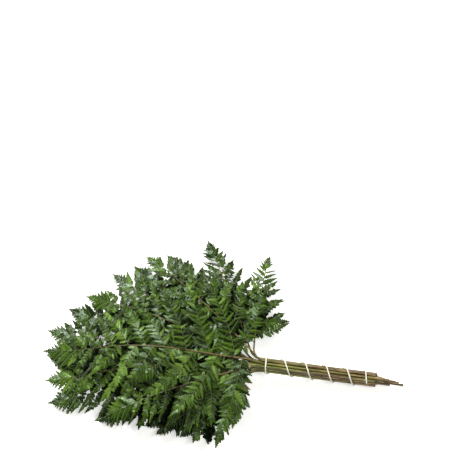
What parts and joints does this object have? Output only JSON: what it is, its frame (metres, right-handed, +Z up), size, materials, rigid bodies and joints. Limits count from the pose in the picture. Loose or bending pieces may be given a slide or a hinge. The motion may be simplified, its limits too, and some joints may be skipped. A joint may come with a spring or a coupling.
{
  "type": "leatherleaf fern frond bunch",
  "caption": "Cut bunch of leatherleaf fern fronds lying on its side, its stalks tied with a cord wound in a spiral and its leafy blades fanned in a flat heap.",
  "frame": {"origin": "on the table, under the middle of the bunch's outline", "axes": "+X along the tied stalks towards their cut ends, -X towards the tips of the blades, +Z up from the table"},
  "size_m": [0.5802, 0.3538, 0.0965],
  "materials": {
    "leaf": "smooth leathery green leaf with a soft shine",
    "stalk": "smooth olive to brown green stem",
    "tie": "matt cream elastic cord"
  },
  "bodies": {
    "root": {"frond_01_stalk": "stalk", "frond_01_blade": "leaf", "frond_02_stalk": "stalk", "frond_02_blade": "leaf", "frond_03_stalk": "stalk", "frond_03_blade": "leaf", "frond_04_stalk": "stalk", "frond_04_blade": "leaf", "frond_05_stalk": "stalk", "frond_05_blade": "leaf", "frond_06_stalk": "stalk", "frond_06_blade": "leaf", "frond_07_stalk": "stalk", "frond_07_blade": "leaf", "frond_08_stalk": "stalk", "frond_08_blade": "leaf", "frond_09_stalk": "stalk", "frond_09_blade": "leaf", "frond_10_stalk": "stalk", "frond_10_blade": "leaf", "frond_11_stalk": "stalk", "frond_11_blade": "leaf", "frond_12_stalk": "stalk", "frond_12_blade": "leaf", "frond_13_stalk": "stalk", "frond_13_blade": "leaf", "frond_14_stalk": "stalk", "frond_14_blade": "leaf", "frond_15_stalk": "stalk", "frond_15_blade": "leaf", "frond_16_stalk": "stalk", "frond_16_blade": "leaf", "frond_17_stalk": "stalk", "frond_17_blade": "leaf", "frond_18_stalk": "stalk", "frond_18_blade": "leaf", "frond_19_stalk": "stalk", "frond_19_blade": "leaf", "tie": "tie"}
  },
  "joints": []
}
